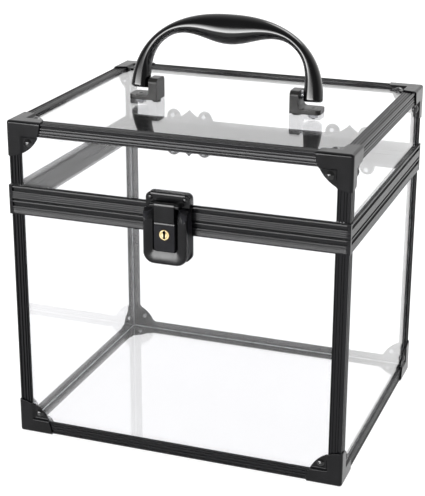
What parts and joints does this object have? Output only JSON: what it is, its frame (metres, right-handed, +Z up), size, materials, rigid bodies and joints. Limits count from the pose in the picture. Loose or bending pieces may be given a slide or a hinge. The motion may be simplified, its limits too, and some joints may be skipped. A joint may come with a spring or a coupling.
{
  "type": "card box",
  "caption": "Clear acrylic card box with a black ribbed aluminium frame, steel corner protectors, a hinged lid, a swinging carry handle on top and a key latch on the front.",
  "frame": {"origin": "on the surface the box stands on, under the middle of its whole outline with latch and hinges", "axes": "+X to the right as seen from the front, +Y to the back where the hinges are, +Z up; the latch faces -Y"},
  "size_m": [0.25, 0.2276, 0.3035],
  "materials": {
    "acrylic": "clear polished sheet",
    "black_angle": "black anodised, with fine lines drawn along it",
    "black_rim": "black anodised, ribbed extrusion",
    "black_steel": "pressed sheet, semi-gloss black",
    "lock_black": "die-cast, satin black",
    "steel": "bright nickel plated",
    "brass": "polished, pale",
    "bracket_metal": "die-cast, satin dark grey",
    "handle_black": "gloss moulded"
  },
  "bodies": {
    "body": {"bottom_panel": "acrylic", "body_front_panel": "acrylic", "body_right_panel": "acrylic", "body_back_panel": "acrylic", "body_left_panel": "acrylic", "bottom_front_rail": "black_angle", "bottom_right_rail": "black_angle", "bottom_back_rail": "black_angle", "bottom_left_rail": "black_angle", "body_post_front_left": "black_angle", "body_post_front_right": "black_angle", "body_post_back_left": "black_angle", "body_post_back_right": "black_angle", "body_front_rim": "black_rim", "body_right_rim": "black_rim", "body_back_rim": "black_rim", "body_left_rim": "black_rim", "bottom_corner_front_left": "black_steel", "bottom_corner_front_right": "black_steel", "bottom_corner_back_left": "black_steel", "bottom_corner_back_right": "black_steel", "body_rivets": "steel", "body_hinge_leaves": "black_steel", "hinge_pins": "steel", "lock_base": "lock_black", "lock_case": "lock_black", "lock_screws": "steel"},
    "lid": {"top_panel": "acrylic", "lid_front_panel": "acrylic", "lid_right_panel": "acrylic", "lid_back_panel": "acrylic", "lid_left_panel": "acrylic", "top_front_rail": "black_angle", "top_right_rail": "black_angle", "top_back_rail": "black_angle", "top_left_rail": "black_angle", "lid_post_front_left": "black_angle", "lid_post_front_right": "black_angle", "lid_post_back_left": "black_angle", "lid_post_back_right": "black_angle", "lid_front_rim": "black_rim", "lid_right_rim": "black_rim", "lid_back_rim": "black_rim", "lid_left_rim": "black_rim", "top_corner_front_left": "black_steel", "top_corner_front_right": "black_steel", "top_corner_back_left": "black_steel", "top_corner_back_right": "black_steel", "lid_rivets": "steel", "lid_hinge_leaves": "black_steel", "keeper_plate": "lock_black", "hasp_pin": "steel", "handle_brackets": "bracket_metal", "handle_pins": "steel", "bracket_screws": "steel", "bracket_nuts": "steel"},
    "handle": {"handle_grip": "handle_black"},
    "hasp": {"hasp": "lock_black"},
    "key": {"key_plug": "brass"},
    "bolt": {"lock_bolt": "steel"}
  },
  "joints": [
    {"name": "lid_hinge", "type": "hinge", "parent": "body", "child": "lid", "pos_m": [0, 0.11123, 0.1832], "axis": [-1, 0, 0], "range_deg": [0, 180]},
    {"name": "handle_swing", "type": "hinge", "parent": "lid", "child": "handle", "pos_m": [0, 0.00302, 0.251], "axis": [1, 0, 0], "range_deg": [-77.6, 102.4]},
    {"name": "hasp_swing", "type": "hinge", "parent": "lid", "child": "hasp", "pos_m": [-0.002, -0.11163, 0.1951], "axis": [-1, 0, 0], "range_deg": [0, 95]},
    {"name": "key_turn", "type": "hinge", "parent": "body", "child": "key", "pos_m": [-0.002, -0.10823, 0.1748], "axis": [0, -1, 0], "range_deg": [0, 90]},
    {"name": "bolt_slide", "type": "slide", "parent": "body", "child": "bolt", "axis": [-1, 0, 0], "range_m": [0, 0.00418]}
  ],
  "couplings": [
    {"joint": "key_turn", "follows": "bolt_slide", "rad_per_m": 370.24}
  ]
}
